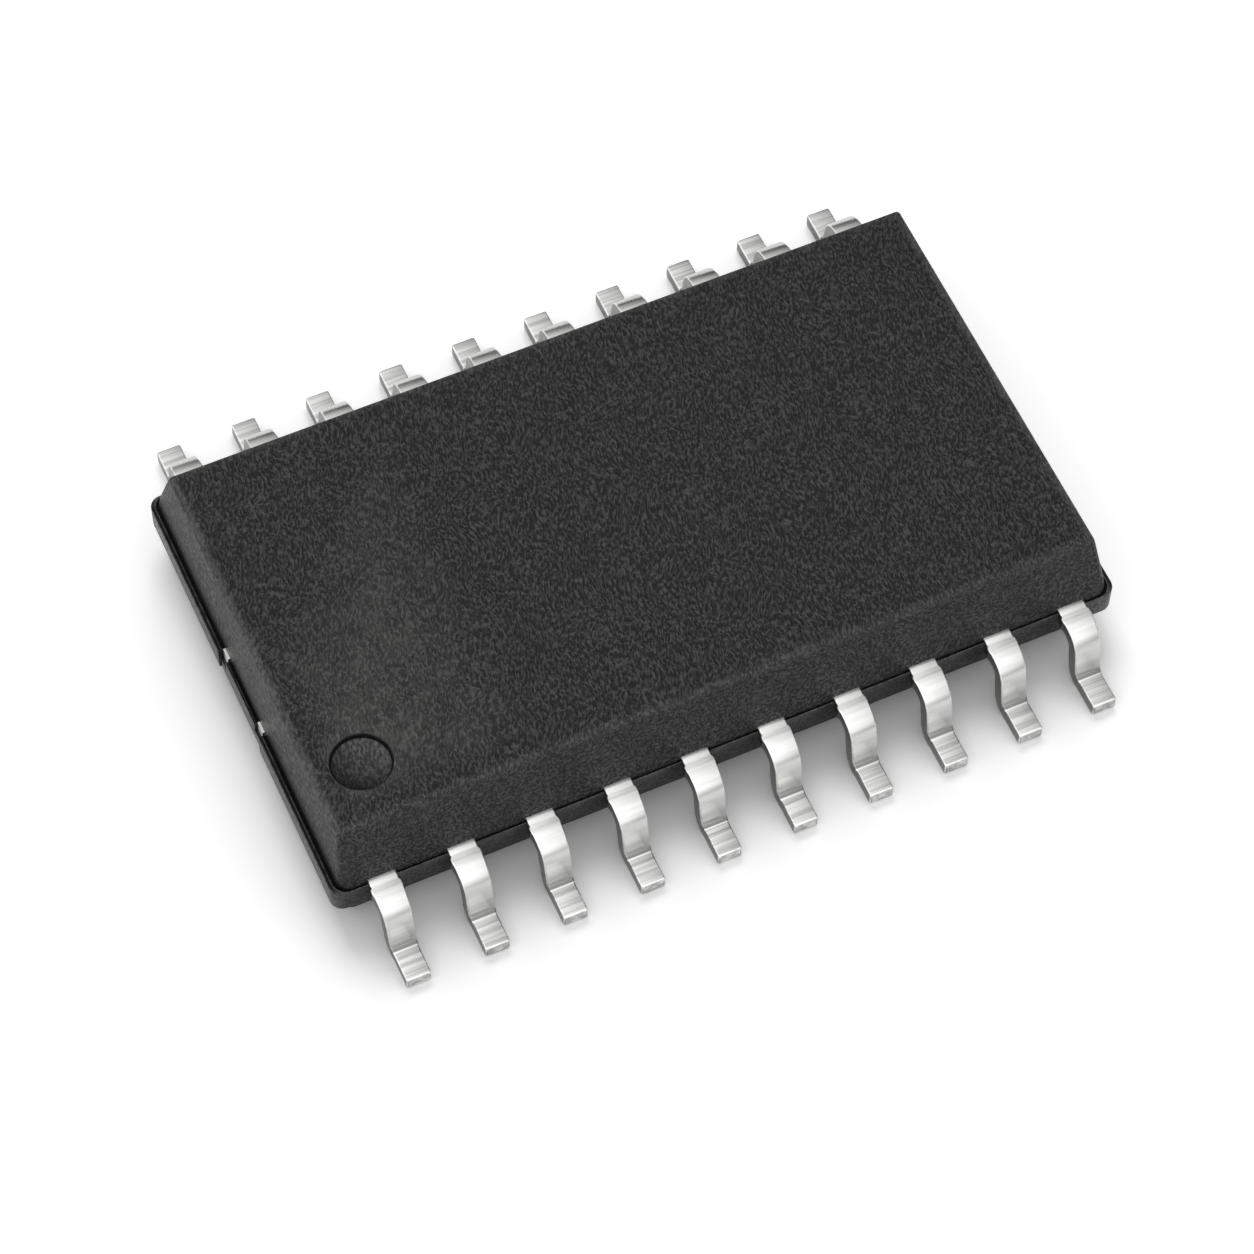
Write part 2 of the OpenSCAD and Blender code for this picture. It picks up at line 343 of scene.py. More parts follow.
def rubbed_edge_and_highlight_group():
    """Where a raised edge is paler, partly from wear and partly as a painted highlight: a mask of the edge,
    broken up by noise.
    """
    group, entry, exit_node = new_group(
        "rubbed_edge_and_highlight",
        [("Edge", "NodeSocketFloat", 0.0), ("Patches per mm", "NodeSocketFloat", 3.0)],
        [("Rubbed_and_highlit", "NodeSocketFloat")],
    )
    place = place_in_mm(group)
    patches = noise(group, place, entry.outputs["Patches per mm"], detail=3.0, roughness=0.6)
    broken = remapped(group, patches.outputs["Fac"], 0.35, 0.65, 0.35, 1.0, smooth=True)
    rubbed_and_highlit = calculate(group, "MULTIPLY", entry.outputs["Edge"], broken, clamp=True)
    group.links.new(rubbed_and_highlit, exit_node.inputs["Rubbed_and_highlit"])
    return group


def forming_lines_group():
    """Fine lines across a lead, which the forming tool draws in its plating as it bends it."""
    group, entry, exit_node = new_group(
        "forming_lines",
        [("Lines per mm", "NodeSocketFloat", 15.0), ("Waver", "NodeSocketFloat", 0.035)],
        [("Height", "NodeSocketFloat"), ("Tone", "NodeSocketFloat"), ("Blotch", "NodeSocketFloat")],
    )
    along = put(group, "ShaderNodeAttribute", {"attribute_name": "along_lead"})
    place = place_in_mm(group)
    split = put(group, "ShaderNodeSeparateXYZ", Vector=place)
    across = calculate(group, "MULTIPLY", split.outputs["X"], entry.outputs["Waver"])
    run = put(group, "ShaderNodeCombineXYZ", X=across, Y=along.outputs["Fac"])
    lines = noise(group, run.outputs[0], entry.outputs["Lines per mm"], detail=1.5, roughness=0.5)
    group.links.new(lines.outputs["Fac"], exit_node.inputs["Height"])
    tone = remapped(group, lines.outputs["Fac"], 0.34, 0.66, smooth=True)
    group.links.new(tone, exit_node.inputs["Tone"])
    blotch = noise(group, place, BLOTCHES_PER_MM, detail=2.0)
    group.links.new(blotch.outputs["Fac"], exit_node.inputs["Blotch"])
    return group


LEATHERY_GRAIN = leathery_grain_group()
RUBBED_EDGE_AND_HIGHLIGHT = rubbed_edge_and_highlight_group()
FORMING_LINES = forming_lines_group()


# ---- Materials ----


def new_material(name):
    """A material with a Principled BSDF and its output. Returns the material, its tree and the BSDF."""
    material = bpy.data.materials.new(name)
    material.use_nodes = True
    tree = material.node_tree
    tree.nodes.clear()
    bsdf = tree.nodes.new("ShaderNodeBsdfPrincipled")
    output = tree.nodes.new("ShaderNodeOutputMaterial")
    tree.links.new(bsdf.outputs["BSDF"], output.inputs["Surface"])
    return material, tree, bsdf


def use_group(tree, group, **values):
    """A copy of a node group in a material, with its own values."""
    node = tree.nodes.new("ShaderNodeGroup")
    node.node_tree = group
    for label, value in values.items():
        feed(tree, node, label.replace("_", " "), value)
    return node


def bumped(tree, height, depth_mm, strength):
    """The normal of a Bump node."""
    bump = put(tree, "ShaderNodeBump", Height=height, Distance=depth_mm * MM, Strength=strength)
    return bump.outputs["Normal"]


def moulding_compound():
    """Black epoxy moulding compound with a leathery grain, paler along its creases and raised edges, partly
    from wear and partly as a painted highlight.
    """
    material, tree, bsdf = new_material("moulding_compound")
    grain = use_group(tree, LEATHERY_GRAIN)
    edge = put(tree, "ShaderNodeAttribute", {"attribute_name": "raised_edge"})
    rubbed_and_highlit = use_group(tree, RUBBED_EDGE_AND_HIGHLIGHT, Edge=edge.outputs["Fac"])
    smooth_wall = put(tree, "ShaderNodeAttribute", {"attribute_name": "smooth_wall"})
    dark, pale = (0.003, 0.003, 0.0029, 1), (0.008, 0.0079, 0.0076, 1)
    grained = mixed_colour(tree, grain.outputs["Tone"], dark, pale)
    # Paler along raised edges: partly wear, partly a painted highlight.
    worn_and_highlit = mixed_colour(tree, rubbed_and_highlit.outputs["Rubbed_and_highlit"], grained, (0.05, 0.05, 0.048, 1))
    tree.links.new(worn_and_highlit, bsdf.inputs["Base Color"])
    rough = remapped(tree, grain.outputs["Tone"], 0, 1, 0.62, 0.5)
    smoother = remapped(tree, smooth_wall.outputs["Fac"], 0, 1, 0.0, 0.25)
    tree.links.new(calculate(tree, "SUBTRACT", rough, smoother), bsdf.inputs["Roughness"])
    flat = calculate(tree, "SUBTRACT", 1.0, smooth_wall.outputs["Fac"], clamp=True)
    height = calculate(tree, "MULTIPLY", grain.outputs["Height"], flat)
    tree.links.new(bumped(tree, height, 0.016, 1.0), bsdf.inputs["Normal"])
    sheen = remapped(tree, grain.outputs["Tone"], 0, 1, 0.35, 0.9)
    tree.links.new(sheen, bsdf.inputs["Specular IOR Level"])
    return material


def parting_line_and_painted_shade():
    """The ledge's narrow top and its groove, and the dimple's wall, black and nearly without sheen with fine
    moulding dust: painted shade in the groove and on the dimple's wall, with a paler line along raised edges
    that is partly wear and partly a painted highlight.
    """
    material, tree, bsdf = new_material("parting_line_and_painted_shade")
    grain = use_group(tree, LEATHERY_GRAIN, Strokes_per_mm=30.0)
    edge = put(tree, "ShaderNodeAttribute", {"attribute_name": "raised_edge"})
    rubbed_and_highlit = use_group(tree, RUBBED_EDGE_AND_HIGHLIGHT, Edge=edge.outputs["Fac"], Patches_per_mm=6.0)
    dust = mixed_colour(tree, grain.outputs["Tone"], (0.003, 0.003, 0.003, 1), (0.01, 0.01, 0.0095, 1))
    # A paler line along raised edges: partly wear, partly a painted highlight.
    colour = mixed_colour(tree, rubbed_and_highlit.outputs["Rubbed_and_highlit"], dust, (0.13, 0.13, 0.127, 1))
    tree.links.new(colour, bsdf.inputs["Base Color"])
    rough = remapped(tree, grain.outputs["Tone"], 0, 1, 0.8, 0.65)
    tree.links.new(rough, bsdf.inputs["Roughness"])
    tree.links.new(bumped(tree, grain.outputs["Height"], 0.006, 0.4), bsdf.inputs["Normal"])
    # Almost no sheen, so these faces render black: painted shade in the groove and on the dimple's wall.
    bsdf.inputs["Specular IOR Level"].default_value = 0.1
    return material


def tin_plate():
    """Bright tin plate with fine forming lines across the lead, strongest on its foot. Painted shade darkens
    its cut sides, its toe face and the bend above its foot; its rounded edges are brighter, partly from wear
    and partly as a painted highlight.
    """
    material, tree, bsdf = new_material("tin_plate")
    lines = use_group(tree, FORMING_LINES)
    edge = put(tree, "ShaderNodeAttribute", {"attribute_name": "raised_edge"})
    pressed = put(tree, "ShaderNodeAttribute", {"attribute_name": "pressed"})
    painted_shade_and_dark_line = put(tree, "ShaderNodeAttribute", {"attribute_name": "painted_shade_and_dark_line"})
    rubbed_and_highlit = use_group(tree, RUBBED_EDGE_AND_HIGHLIGHT, Edge=edge.outputs["Fac"], Patches_per_mm=8.0)
    line_share = remapped(tree, pressed.outputs["Fac"], 0, 1, 0.3, 1.0)
    lined = calculate(tree, "MULTIPLY", lines.outputs["Tone"], line_share)
    plate = mixed_colour(tree, lined, (0.76, 0.76, 0.75, 1), (0.52, 0.52, 0.51, 1))
    # Painted shade: the sides, the toe face and the bend above the foot go nearly black.
    shaded_plate = mixed_colour(tree, painted_shade_and_dark_line.outputs["Fac"], plate, (0.1, 0.1, 0.098, 1))
    # Rounded edges go brighter: partly wear, partly a painted highlight.
    polished_and_highlit = mixed_colour(tree, rubbed_and_highlit.outputs["Rubbed_and_highlit"], shaded_plate, (0.95, 0.95, 0.94, 1))
    tree.links.new(polished_and_highlit, bsdf.inputs["Base Color"])
    rough = remapped(tree, lines.outputs["Blotch"], 0.3, 0.7, 0.2, 0.27)
    tree.links.new(rough, bsdf.inputs["Roughness"])
    height = calculate(tree, "MULTIPLY", lines.outputs["Height"], line_share)
    tree.links.new(bumped(tree, height, 0.004, 0.5), bsdf.inputs["Normal"])
    bsdf.inputs["Metallic"].default_value = 1.0
    return material


def frame_alloy():
    """Bare alloy of the lead frame, which shows only where the tie bars were cut."""
    material, tree, bsdf = new_material("frame_alloy")
    lines = use_group(tree, FORMING_LINES, Lines_per_mm=30.0)
    colour = mixed_colour(tree, lines.outputs["Blotch"], (0.74, 0.73, 0.71, 1), (0.9, 0.89, 0.87, 1))
    tree.links.new(colour, bsdf.inputs["Base Color"])
    rough = remapped(tree, lines.outputs["Blotch"], 0.3, 0.7, 0.25, 0.4)
    tree.links.new(rough, bsdf.inputs["Roughness"])
    bsdf.inputs["Metallic"].default_value = 1.0
    return material


def inner_material(name, first, second, metallic, rough_low, rough_high, specks_per_mm):
    """A material for a piece sealed in the body: two tones and a roughness that follow fine specks."""
    material, tree, bsdf = new_material(name)
    specks = noise(tree, place_in_mm(tree), specks_per_mm, detail=3.0)
    tone = remapped(tree, specks.outputs["Fac"], 0.35, 0.65, smooth=True)
    tree.links.new(mixed_colour(tree, tone, first, second), bsdf.inputs["Base Color"])
    rough = remapped(tree, specks.outputs["Fac"], 0.3, 0.7, rough_low, rough_high)
    tree.links.new(rough, bsdf.inputs["Roughness"])
    tree.links.new(bumped(tree, specks.outputs["Fac"], 0.003, 0.3), bsdf.inputs["Normal"])
    bsdf.inputs["Metallic"].default_value = metallic
    return material


# ---- The moulded body ----

# The corners of the body's outline from the ledge's foot to the top crease, by their numbers in body_outline.
LEDGE_LOW, UNDER_NOTCH, OVER_NOTCH, LEDGE_RIM, RIM_MIDDLE = range(4, 9)
GROOVE_OUTER, GROOVE_FLOOR, SLOPE_FOOT, SLOPE_LOW, SLOPE_MID, SLOPE_HIGH, CREASE = range(9, 16)

# How much each corner is a raised edge, paler from wear and from a painted highlight: at the short ends, at
# the long sides.
RAISED = {
    LEDGE_RIM: (0.1, 1.0),
    RIM_MIDDLE: (0.0, 1.0),
    GROOVE_OUTER: (1.0, 1.0),
    CREASE: (1.0, 0.55),
}
# How smooth the mould left the wall there: at the short ends, at the long sides.
SMOOTH = {
    LEDGE_LOW: (0.9, 0.9),
    UNDER_NOTCH: (0.9, 0.9),
    OVER_NOTCH: (0.9, 0.9),
    LEDGE_RIM: (0.9, 0.9),
    SLOPE_FOOT: (0.75, 0.4),
    SLOPE_LOW: (0.75, 0.4),
    SLOPE_MID: (0.7, 0.25),
    SLOPE_HIGH: (0.6, 0.2),
    CREASE: (0.4, 0.1),
}
ARC_STEPS = 4
CORNER_STEPS = 8
SIDE_STEPS = 40
HAIR = 0.001
RIM_STEPS = 3
DIMPLE_SIDES = 64


def body_outline(foot, draft, ledge_half):
    """The body's outline in one upright plane, from its bottom face out over the ledge to its top face."""
    slope = math.tan(draft)
    low_face = foot - (LEDGE_BOTTOM - BODY_BOTTOM) * slope
    top_face = foot - (BODY_TOP - LEDGE_TOP) * slope
    groove_outer = foot + min(GROOVE_W, (ledge_half - foot) / 2)
    rim_middle = (groove_outer + ledge_half) / 2
    under_crease = 0.12
    return [
        (low_face - 0.3, BODY_BOTTOM, 0),
        (low_face, BODY_BOTTOM, BOTTOM_EDGE_R),
        (foot - 0.05 * slope, LEDGE_BOTTOM - 0.05, 0),
        (foot, LEDGE_BOTTOM, 0),
        (ledge_half, LEDGE_BOTTOM, LEDGE_EDGE_R),
        (ledge_half, NOTCH_FLOOR - HAIR, 0),
        (ledge_half, NOTCH_FLOOR + HAIR, 0),
        (ledge_half, LEDGE_TOP, LEDGE_EDGE_R),
        (rim_middle - LEDGE_EDGE_R / 2, LEDGE_TOP, 0),
        (groove_outer, LEDGE_TOP, 0.004),
        (groove_outer, LEDGE_TOP - GROOVE_D, 0),
        (foot, LEDGE_TOP - GROOVE_D, 0),
        (foot - 0.05 * slope, LEDGE_TOP + 0.05, 0),
        (foot - 0.25 * slope, LEDGE_TOP + 0.25, 0),
        (top_face + under_crease * slope, BODY_TOP - under_crease, 0),
        (top_face, BODY_TOP, CREASE_R),
        (top_face - 0.14, BODY_TOP, 0),
        (top_face - 0.3, BODY_TOP, 0),
    ]


def corner_radius(number, height):
    """The body's corner radius, seen from above, at one corner of its outline."""
    if LEDGE_LOW <= number <= RIM_MIDDLE:
        return LEDGE_CORNER_R
    if number < LEDGE_LOW:
        return HALF_CORNER_R
    climbed = max(0.0, (height - LEDGE_TOP) / (BODY_TOP - LEDGE_TOP))
    return FACE_CORNER_R + (HALF_CORNER_R - FACE_CORNER_R) * (1 - climbed) ** CORNER_FLARE


def end_columns(reach):
    """Places across a short end, with a pair a hair apart at each step of the notches."""
    steps = [place + side * HAIR for place in (NOTCH_INNER, NOTCH_OUTER) for side in (-1, 1)]
    outer = spread(NOTCH_OUTER + 0.2, reach, 8)
    half = [0.0, NOTCH_INNER / 2] + steps + outer
    return [-place for place in reversed(half[1:])] + half


def cut_end(point, number, foot, groove_outer):
    """Moves a point of a short end in where a notch or the setback cuts the ledge."""
    across = abs(point.y)
    if not LEDGE_LOW <= number <= GROOVE_FLOOR:
        return point
    if number >= OVER_NOTCH and NOTCH_INNER < across < NOTCH_OUTER:
        return Vector((foot, point.y, min(point.z, LEDGE_TOP - GROOVE_D)))
    if across < NOTCH_OUTER and point.x > groove_outer:
        share = (point.x - groove_outer) / (LEDGE_HALF_L - groove_outer)
        return Vector((point.x - SETBACK * share, point.y, point.z))
    return point


def quarter_arc(centre, radius, first, end_height, side_height):
    """A corner arc seen from above, from one wall's height to the other's. Yields (point, end's share)."""
    for step in range(1, CORNER_STEPS):
        turn = math.radians(90) * step / CORNER_STEPS
        share = math.cos(turn) ** 2 if first == "end" else math.sin(turn) ** 2
        angle = turn if first == "end" else math.radians(90) - turn
        out = Vector((math.cos(angle), math.sin(angle))) * radius
        height = end_height * share + side_height * (1 - share)
        yield Vector((centre.x + out.x, centre.y + out.y, height)), share


def body_ring(end, side, number):
    """One ring round the body, as (point, end's share) pairs, anticlockwise from the +X end's middle."""
    radius = corner_radius(number, end.y)
    foot = LEDGE_HALF_L - LEDGE_END
    groove_outer = foot + GROOVE_W
    reach_y = side.x - radius
    reach_x = end.x - radius
    columns = end_columns(reach_y)
    quarter = [(Vector((end.x, y, end.y)), 1.0) for y in columns if y >= 0]
    quarter = [(cut_end(point, number, foot, groove_outer), share) for point, share in quarter]
    quarter += list(quarter_arc(Vector((reach_x, reach_y)), radius, "end", end.y, side.y))
    along = spread(reach_x, 0, SIDE_STEPS)
    quarter += [(Vector((x, side.x, side.y)), 0.0) for x in along]
    ring = [(point.copy(), share) for point, share in quarter]
    for mirror_x, mirror_y, backwards in ((-1, 1, True), (-1, -1, False), (1, -1, True)):
        turned = [(Vector((p.x * mirror_x, p.y * mirror_y, p.z)), share) for p, share in quarter]
        turned = list(reversed(turned)) if backwards else turned
        ring += turned[1:]
    return ring[:-1]


def dimple_rings():
    """The dimple's rings from its rim down to the bottom of its bowl, as (radius, height, raised)."""
    rings = []
    for step in range(RIM_STEPS + 1):
        turn = math.radians(90) * step / RIM_STEPS
        radius = DIMPLE_R + DIMPLE_RIM_R * (1 - math.sin(turn))
        rings.append((radius, BODY_TOP - DIMPLE_RIM_R * (1 - math.cos(turn)), 1.0))
    bowl_r = (DIMPLE_R**2 + DIMPLE_BOWL**2) / (2 * DIMPLE_BOWL)
    wall_foot = BODY_TOP - DIMPLE_WALL
    widest = math.asin(DIMPLE_R / bowl_r)
    for turn in spread(widest, widest / 12, 11):
        height = wall_foot - DIMPLE_BOWL + bowl_r * (1 - math.cos(turn))
        rings.append((bowl_r * math.sin(turn), height, 0.0))
    return rings


def moulded_body():
    """The whole moulding: rings stacked up its outline, with a face filled in round the dimple."""
    bm = bmesh.new()
    raised = bm.verts.layers.float.new("raised_edge")
    smooth = bm.verts.layers.float.new("smooth_wall")
    end_line = rounded_line(body_outline(LEDGE_HALF_L - LEDGE_END, END_DRAFT, LEDGE_HALF_L), ARC_STEPS)
    side_line = rounded_line(body_outline(LEDGE_HALF_W - LEDGE_SIDE, SIDE_DRAFT, LEDGE_HALF_W), ARC_STEPS)
    rings, numbers = [], []
    for (end, number), (side, _) in zip(end_line, side_line):
        ring = []
        for point, share in body_ring(end, side, number):
            vertex = bm.verts.new(point)
            # Raised edges get a paler colour, partly wear and partly a painted highlight.
            at_end, at_side = RAISED.get(number, (0, 0))
            vertex[raised] = at_end * share + at_side * (1 - share)
            at_end, at_side = SMOOTH.get(number, (0, 0))
            vertex[smooth] = at_end * share + at_side * (1 - share)
            ring.append(vertex)
        rings.append(ring)
        numbers.append(number)
    # The ledge's narrow top and its groove get the black, sheenless second material: painted shade in the
    # groove.
    for wall, lower, upper in zip(walled(bm, rings), numbers, numbers[1:]):
        if lower >= LEDGE_RIM and RIM_MIDDLE <= upper <= SLOPE_FOOT:
            for face in wall:
                face.material_index = 1
    bm.faces.new(reversed(rings[0]))
    circles = []
    for radius, height, mask in dimple_rings():
        circle = []
        for k in range(DIMPLE_SIDES):
            angle = 2 * math.pi * k / DIMPLE_SIDES
            at = DIMPLE_AT + Vector((math.cos(angle), math.sin(angle))) * radius
            vertex = bm.verts.new((at.x, at.y, height))
            # The dimple's rim gets the paler edge colour, partly a painted highlight.
            vertex[raised] = mask
            vertex[smooth] = DIMPLE_SMOOTH * (1 - mask)
            circle.append(vertex)
        circles.append(circle)
    # The dimple's wall and the outer ring of its bowl get the black, sheenless second material: painted
    # shade.
    for wall in walled(bm, circles)[RIM_STEPS : RIM_STEPS + 2]:
        for face in wall:
            face.material_index = 1
    bm.faces.new(circles[-1])
    rim_edges = []
    for ring in (rings[-1], circles[0]):
        rim_edges += [bm.edges.get((ring[k], ring[k - 1])) for k in range(len(ring))]
    bmesh.ops.triangle_fill(bm, use_beauty=True, edges=rim_edges, normal=(0, 0, 1))
    return finished_piece("moulding", bm, [moulding_compound(), parting_line_and_painted_shade()], math.radians(40))


# ---- The leads ----


def lead_path():
    """The middle line of a lead from finger tip to toe, as (u, z, turn below level, length, darkening:
    painted shade in the heel, a dark line on the foot).
    """
    shoulder_mid = SHOULDER_R - LEAD_T / 2
    heel_mid = HEEL_R + LEAD_T / 2
    heel_u = TOE_U - FOOT_L
    bends = shoulder_mid + heel_mid
    drop = NECK_TOP - SHOULDER_R - LEAD_T - HEEL_R
    riser_l = (drop + bends * math.sin(RISER_LEAN)) / math.cos(RISER_LEAN)
    shoulder_u = heel_u - bends * math.cos(RISER_LEAN) - riser_l * math.sin(RISER_LEAN)
    steepest = math.radians(90) - RISER_LEAN
    neck_z = NECK_TOP - LEAD_T / 2
    stations = [(u, neck_z, 0.0, 0.0) for u in spread(FINGER_TIP_U, ROOT_U, 2)]
    stations += [(u, neck_z, 0.0, 0.0) for u in spread(ROOT_U + 0.1, shoulder_u - 0.02, NECK_STEPS)]
    shoulder_z = NECK_TOP - SHOULDER_R
    for turn in spread(0, steepest, SHOULDER_STEPS):
        u = shoulder_u + shoulder_mid * math.sin(turn)
        stations.append((u, shoulder_z + shoulder_mid * math.cos(turn), turn, 0.0))
    heel_z = LEAD_T + HEEL_R
    # The lower riser and the bend above the foot get painted shade, darkest in the bend; the bend's end stays
    # bright.
    for k in range(1, RISER_STEPS):
        back = riser_l * (1 - k / RISER_STEPS)
        u = heel_u - heel_mid * math.sin(steepest) - back * math.sin(RISER_LEAN)
        z = heel_z - heel_mid * math.cos(steepest) + back * math.cos(RISER_LEAN)
        stations.append((u, z, steepest, HEEL_PAINTED_SHADE * HEEL_PAINTED_SHADE_START * max(0, k - 2) / 2))
    for k, turn in enumerate(spread(steepest, 0, HEEL_STEPS)):
        u = heel_u - heel_mid * math.sin(turn)
        deepening = HEEL_PAINTED_SHADE_START + (1 - HEEL_PAINTED_SHADE_START) * min(1.0, k / DARKEST_SHADED_HEEL_STEP)
        painted_shade_and_dark_line = HEEL_PAINTED_SHADE * deepening if k < BRIGHT_HEEL_STEP else 0.0
        stations.append((u, heel_z - heel_mid * math.cos(turn), turn, painted_shade_and_dark_line))
    # The first line across the foot is darkened.
    first_line = heel_u + FIRST_LINE_AT
    for u in spread(heel_u + 0.02, TOE_U - TOE_EDGE_R, FOOT_STEPS):
        nearness = max(0.0, 1 - abs(u - first_line) / FIRST_LINE_HALF_W)
        stations.append((u, LEAD_T / 2, 0.0, FIRST_LINE_DARKNESS * nearness))
    for turn in spread(0, math.radians(90), TOE_STEPS)[1:]:
        stations.append((TOE_U - TOE_EDGE_R * (1 - math.sin(turn)), LEAD_T / 2, 0.0, 0.0))
    path, length = [], 0.0
    for k, (u, z, turn, painted_shade_and_dark_line) in enumerate(stations):
        if k:
            length += math.dist((u, z), stations[k - 1][:2])
        path.append((u, z, turn, length, painted_shade_and_dark_line))
    return path, shoulder_u, heel_u


def between(u, places):
    """The value at u on a line through (u, value) places."""
    for (low_u, low), (high_u, high) in zip(places, places[1:]):
        if u <= high_u:
            return low + (high - low) * max(0.0, (u - low_u) / (high_u - low_u))
    return places[-1][1]


def lead_section(half_w, over, under, radius):
    """A cross-section with round edges, anticlockwise, as (across, up, is an edge, is a side) values."""
    section = []
    for across, up, first in ((1, 1, 0), (-1, 1, 90), (-1, -1, 180), (1, -1, 270)):
        edge_r = min(radius, half_w * 0.9, over * 0.9)
        centre = Vector((across * (half_w - edge_r), (over - edge_r) if up > 0 else -(under - edge_r)))
        for step in range(4):
            angle = math.radians(first + 90 * step / 3)
            out = Vector((math.cos(angle), math.sin(angle))) * edge_r
            is_edge = 1.0 if step in (1, 2) else 0.0
            section.append((centre.x + out.x, centre.y + out.y, is_edge, abs(math.cos(angle)) > 0.99))
    return section


def plated_lead(number, material):
    """One lead, swept along its bends with its stamped widths."""
    sole = next(m for m in frame["record"]["mounts"] if m["name"] == f"sole_{number:02d}")
    foot_x = sole["pos_m"][0] / MM
    row = math.copysign(1, sole["pos_m"][1])
    tip_x = foot_x / LEAD_PITCH * FINGER_PITCH
    path, shoulder_u, heel_u = lead_path()
    stub_u = shoulder_u - STUB_L
    soft = 0.02
    widths = [
        (FINGER_TIP_U, FINGER_W),
        (ROOT_U, NECK_W),
        (stub_u - soft, NECK_W),
        (stub_u + soft, STUB_W),
        (shoulder_u - soft, STUB_W),
        (shoulder_u + soft, SHOULDER_W),
        (heel_u, FOOT_W),
        (TOE_U, FOOT_W),
    ]
    bm = bmesh.new()
    layer_names = ("along_lead", "raised_edge", "pressed", "painted_shade_and_dark_line")
    layer = {name: bm.verts.layers.float.new(name) for name in layer_names}
    rings = []
    for u, z, turn, length, painted_shade_and_dark_line in path:
        to_toe = TOE_U - u
        inset = 0.0
        if to_toe < TOE_EDGE_R:
            inset = TOE_EDGE_R - math.sqrt(max(0.0, TOE_EDGE_R**2 - (TOE_EDGE_R - to_toe) ** 2))
        fallen = min(1.0, max(0.0, (u - CROWN_FROM_U) / (CROWN_TO_U - CROWN_FROM_U)))
        crown = CROWN_H * (1 - fallen * fallen * (3 - 2 * fallen)) if ROOT_U < u else 0.0
        half_w = between(u, widths) / 2 - inset
        middle_x = between(u, [(FINGER_TIP_U, tip_x), (ROOT_U, foot_x), (TOE_U, foot_x)])
        at_toe_face = inset >= TOE_EDGE_R * 0.9
        ring = []
        for across, up, edge, is_side in lead_section(
            half_w, LEAD_T / 2 - inset + crown, LEAD_T / 2 - inset, LEAD_EDGE_R
        ):
            point_u = u + up * math.sin(turn)
            vertex = bm.verts.new((middle_x + across * row, point_u * row, z + up * math.cos(turn)))
            vertex[layer["along_lead"]] = length + up
            # Rounded edges and the toe's rounding get the bright edge colour, partly a painted highlight;
            # painted shade takes it away.
            vertex[layer["raised_edge"]] = 1.0 if 0 < inset and not at_toe_face else edge * (1 - painted_shade_and_dark_line)
            vertex[layer["pressed"]] = 1.0 if u > heel_u - 0.02 else 0.0
            # Painted shade on the toe face and the cut sides, and the path's heel shade and dark foot line.
            vertex[layer["painted_shade_and_dark_line"]] = TOE_PAINTED_SHADE if at_toe_face else max(SIDE_PAINTED_SHADE * is_side, painted_shade_and_dark_line)
            ring.append(vertex)
        rings.append(ring)
    walled(bm, rings)
    bm.faces.new(reversed(rings[0]))
    bm.faces.new(rings[-1])
    return finished_piece(f"plated_lead_{number:02d}", bm, [material], math.radians(50))


# ---- The object ----

body = moulded_body()
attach(body, "root")
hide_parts("moulded_body")

plate = tin_plate()
for lead_number in range(1, 21):
    lead = plated_lead(lead_number, plate)
    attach(lead, "root")
    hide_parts(f"lead_{lead_number:02d}")

INNER_MATERIALS = {
    "die_paddle": frame_alloy(),
    "die_attach": inner_material(
        "silver_epoxy",
        (0.42, 0.42, 0.4, 1),
        (0.62, 0.62, 0.6, 1),
        metallic=0.4,
        rough_low=0.45,
        rough_high=0.7,
        specks_per_mm=30.0,
    ),
    "silicon_die": inner_material(
        "silicon",
        (0.13, 0.14, 0.17, 1),
        (0.18, 0.19, 0.22, 1),
        metallic=0.3,
        rough_low=0.12,
        rough_high=0.2,
        specks_per_mm=6.0,
    ),
    "wire": inner_material(
        "gold_wire",
        (0.86, 0.6, 0.2, 1),
        (0.92, 0.7, 0.3, 1),
        metallic=1.0,
        rough_low=0.15,
        rough_high=0.3,
        specks_per_mm=20.0,
    ),
}
for name, node in frame["nodes"].items():
    kind = "wire" if name.startswith("wire_") else name
    if kind in INNER_MATERIALS:
        node.data.materials.clear()
        node.data.materials.append(INNER_MATERIALS[kind])

# ---- Floor, light and camera ----

SHOWN_RAY = ("Is Camera Ray", "Is Glossy Ray", "Is Transmission Ray")

# The backdrop: the direction it brightens towards, its dimmest and brightest, and its share at the horizon.
BRIGHT_SIDE = (-0.6, -0.45, 0.66)
BACKDROP_DIM = 0.1
BACKDROP_BRIGHT = 1.46
BACKDROP_FOOT = 0.55


def seen_directly(tree):
    """1 for a ray from the camera or from a gloss or through a glass, else 0."""
    path = tree.nodes.new("ShaderNodeLightPath")
    seen = calculate(tree, "MAXIMUM", path.outputs[SHOWN_RAY[0]], path.outputs[SHOWN_RAY[1]])
    return calculate(tree, "MAXIMUM", seen, path.outputs[SHOWN_RAY[2]])


